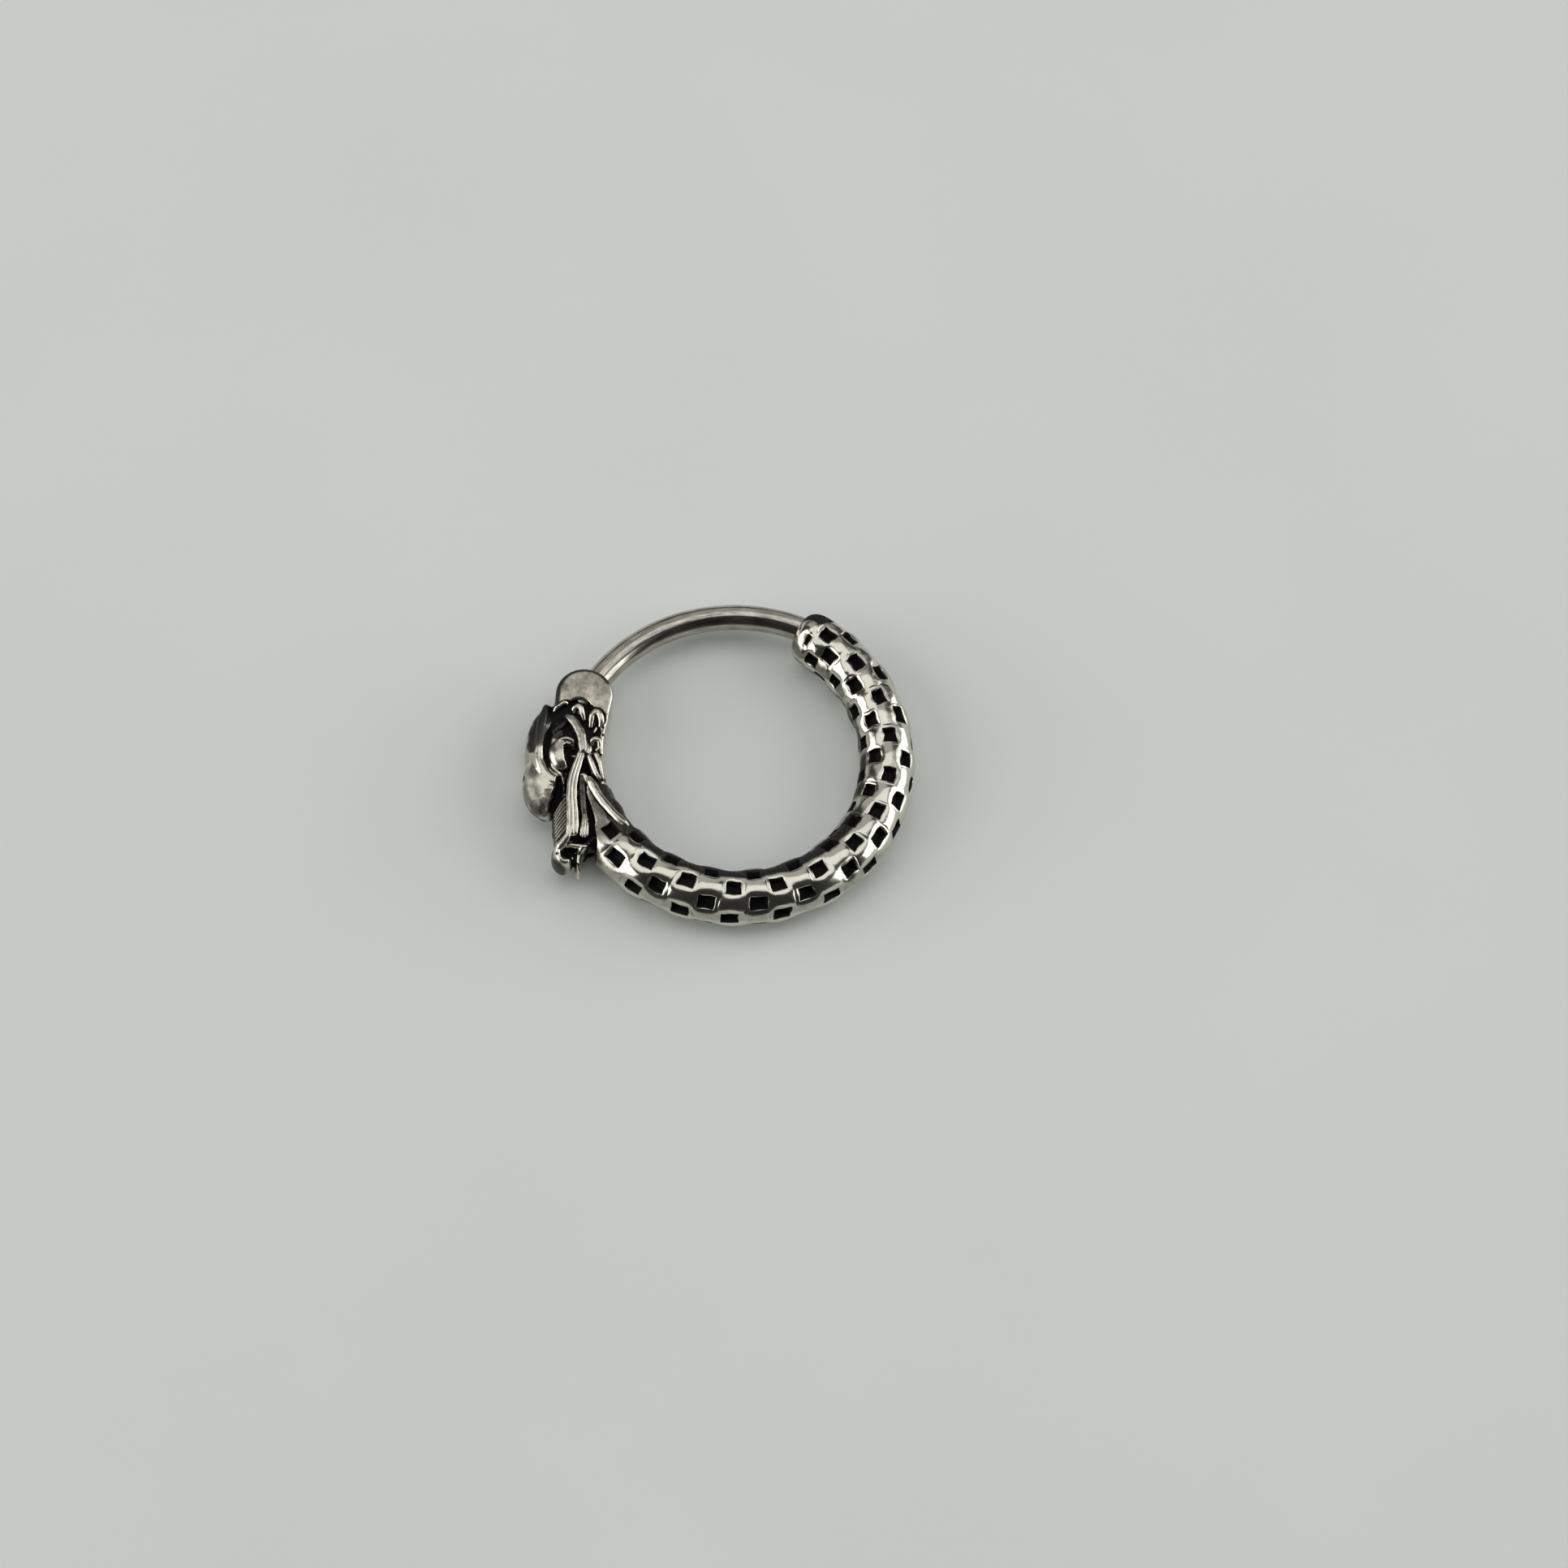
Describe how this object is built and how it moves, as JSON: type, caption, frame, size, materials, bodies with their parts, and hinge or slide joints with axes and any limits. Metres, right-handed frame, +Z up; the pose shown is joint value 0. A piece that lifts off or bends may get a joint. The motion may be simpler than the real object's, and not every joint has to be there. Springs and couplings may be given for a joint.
{
  "type": "hinged segment hoop for a piercing, with a dragon body",
  "caption": "Hinged piercing hoop: a cast scaled dragon's body bent into a ring, closed by a plain round bar that turns on a pin behind the head and drops into a slot in the tail.",
  "frame": {"origin": "middle of the bounding box on the surface the hoop lies on", "axes": "+Z up, along the hoop's own axis as it lies on its side; +X from the dragon's head towards the far side of the ring; +Y towards the bar"},
  "size_m": [0.0152, 0.0138, 0.0022],
  "materials": {
    "cast_steel": "polished stainless steel with black oxidised pits and recesses",
    "bar_steel": "smooth polished stainless steel with fine lengthwise polishing lines",
    "pin_steel": "plain turned stainless steel"
  },
  "bodies": {
    "hoop": {"cast_hoop": "cast_steel", "hinge_pin": "pin_steel"},
    "bar": {"hinged_bar": "bar_steel"}
  },
  "joints": [
    {"name": "bar_hinge", "type": "hinge", "parent": "hoop", "child": "bar", "pos_m": [-0.00569, 0.00105, 0.0011], "axis": [0, 0, 1], "range_deg": [0, 90]}
  ]
}
